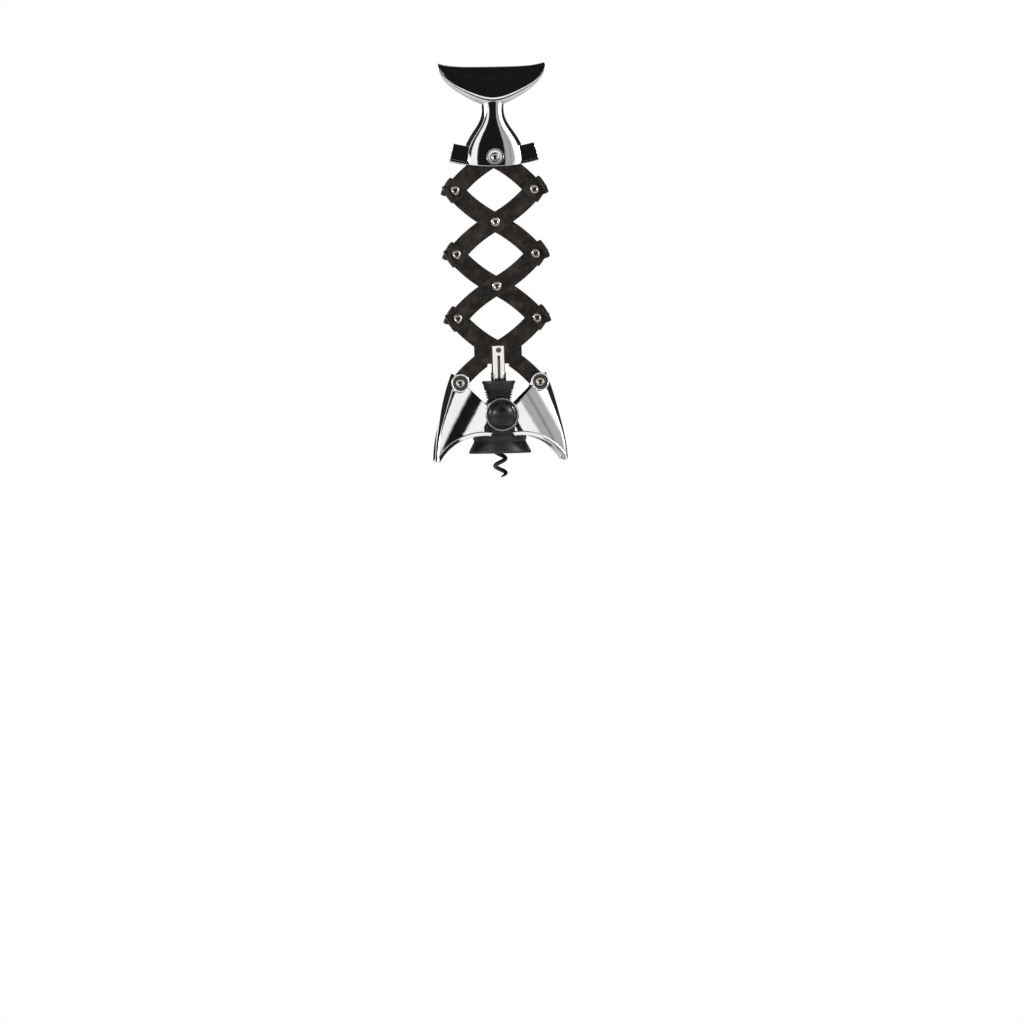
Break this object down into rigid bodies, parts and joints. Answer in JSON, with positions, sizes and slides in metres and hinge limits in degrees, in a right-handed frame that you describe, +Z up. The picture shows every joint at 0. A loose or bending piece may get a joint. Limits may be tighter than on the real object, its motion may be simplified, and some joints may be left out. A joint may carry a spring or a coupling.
{
  "type": "lazy-tongs corkscrew",
  "caption": "Fish-shaped corkscrew: a tail handle works crossed links that open two chrome jaws and draw a worm up through a bell that sits on the bottle.",
  "frame": {"origin": "on the worm's axis, at the seat inside the bell that rests on the bottle's rim", "axes": "+Z up the worm's axis to the tail, +X to the right and -Y towards the viewer of the front"},
  "size_m": [0.0774, 0.0506, 0.2424],
  "materials": {
    "chrome": "polished chrome plate",
    "link_steel": "black oxide, satin, slightly mottled",
    "rivet_nickel": "nickel plate",
    "shaft_nickel": "nickel plate, drawn bar",
    "pin_steel": "plain steel",
    "worm_coating": "black non-stick coating",
    "hub_plastic": "moulded, satin",
    "eye_plastic": "polished"
  },
  "bodies": {
    "hub": {"hub_column": "hub_plastic", "bell_collar": "hub_plastic", "front_hinge_pin": "pin_steel", "rear_hinge_pin": "pin_steel", "front_eye": "eye_plastic", "rear_eye": "eye_plastic"},
    "right_jaw": {"right_jaw": "chrome", "right_jaw_rivet": "rivet_nickel"},
    "left_jaw": {"left_jaw": "chrome", "left_jaw_rivet": "rivet_nickel"},
    "lower_link_rear": {"lower_link_rear": "link_steel"},
    "lower_link_front": {"lower_link_front": "link_steel", "lower_rivet_right": "rivet_nickel"},
    "middle_link_front": {"middle_link_front": "link_steel", "middle_rivet_right": "rivet_nickel", "lower_rivet_left": "rivet_nickel", "crossing_rivet_middle": "rivet_nickel"},
    "middle_link_rear": {"middle_link_rear": "link_steel"},
    "upper_link_rear": {"upper_link_rear": "link_steel"},
    "upper_link_front": {"upper_link_front": "link_steel", "upper_rivet_right": "rivet_nickel", "middle_rivet_left": "rivet_nickel", "crossing_rivet_upper": "rivet_nickel"},
    "top_link_front": {"top_link_front": "link_steel", "upper_rivet_left": "rivet_nickel"},
    "top_link_rear": {"top_link_rear": "link_steel"},
    "tail": {"tail_handle": "chrome", "tail_rivet": "rivet_nickel"},
    "shaft": {"clevis_shaft": "shaft_nickel", "shaft_pin": "pin_steel", "worm": "worm_coating"}
  },
  "joints": [
    {"name": "right_jaw_swing", "type": "hinge", "parent": "hub", "child": "right_jaw", "pos_m": [0, 0, 0.0155], "axis": [0, 1, 0], "range_deg": [0, 27]},
    {"name": "left_jaw_swing", "type": "hinge", "parent": "hub", "child": "left_jaw", "pos_m": [0, 0, 0.0155], "axis": [0, 1, 0], "range_deg": [-27, 0]},
    {"name": "lower_rear_pivot", "type": "hinge", "parent": "right_jaw", "child": "lower_link_rear", "pos_m": [0.02341, 0, 0.03426], "axis": [0, 1, 0], "range_deg": [-54, 0]},
    {"name": "lower_front_pivot", "type": "hinge", "parent": "left_jaw", "child": "lower_link_front", "pos_m": [-0.02341, 0, 0.03426], "axis": [0, 1, 0], "range_deg": [0, 54]},
    {"name": "middle_front_pivot", "type": "hinge", "parent": "lower_link_rear", "child": "middle_link_front", "pos_m": [-0.02341, 0, 0.07177], "axis": [0, 1, 0], "range_deg": [0, 54]},
    {"name": "middle_rear_pivot", "type": "hinge", "parent": "lower_link_front", "child": "middle_link_rear", "pos_m": [0.02341, 0, 0.07177], "axis": [0, 1, 0], "range_deg": [-54, 0]},
    {"name": "upper_rear_pivot", "type": "hinge", "parent": "middle_link_front", "child": "upper_link_rear", "pos_m": [0.02341, 0, 0.10929], "axis": [0, 1, 0], "range_deg": [-54, 0]},
    {"name": "upper_front_pivot", "type": "hinge", "parent": "middle_link_rear", "child": "upper_link_front", "pos_m": [-0.02341, 0, 0.10929], "axis": [0, 1, 0], "range_deg": [0, 54]},
    {"name": "top_front_pivot", "type": "hinge", "parent": "upper_link_rear", "child": "top_link_front", "pos_m": [-0.02341, 0, 0.1468], "axis": [0, 1, 0], "range_deg": [0, 54]},
    {"name": "top_rear_pivot", "type": "hinge", "parent": "upper_link_front", "child": "top_link_rear", "pos_m": [0.02341, 0, 0.1468], "axis": [0, 1, 0], "range_deg": [-54, 0]},
    {"name": "tail_pivot", "type": "hinge", "parent": "top_link_front", "child": "tail", "pos_m": [0, 0, 0.16556], "axis": [0, 1, 0], "range_deg": [-27, 0]},
    {"name": "shaft_pivot", "type": "hinge", "parent": "lower_link_rear", "child": "shaft", "pos_m": [0, 0, 0.05301], "axis": [0, 1, 0], "range_deg": [0, 27]}
  ],
  "couplings": [
    {"joint": "left_jaw_swing", "follows": "right_jaw_swing", "ratio": -1},
    {"joint": "lower_rear_pivot", "follows": "right_jaw_swing", "ratio": -2},
    {"joint": "lower_front_pivot", "follows": "right_jaw_swing", "ratio": 2},
    {"joint": "middle_front_pivot", "follows": "right_jaw_swing", "ratio": 2},
    {"joint": "middle_rear_pivot", "follows": "right_jaw_swing", "ratio": -2},
    {"joint": "upper_rear_pivot", "follows": "right_jaw_swing", "ratio": -2},
    {"joint": "upper_front_pivot", "follows": "right_jaw_swing", "ratio": 2},
    {"joint": "top_front_pivot", "follows": "right_jaw_swing", "ratio": 2},
    {"joint": "top_rear_pivot", "follows": "right_jaw_swing", "ratio": -2},
    {"joint": "tail_pivot", "follows": "right_jaw_swing", "ratio": -1},
    {"joint": "shaft_pivot", "follows": "right_jaw_swing", "ratio": 1}
  ]
}
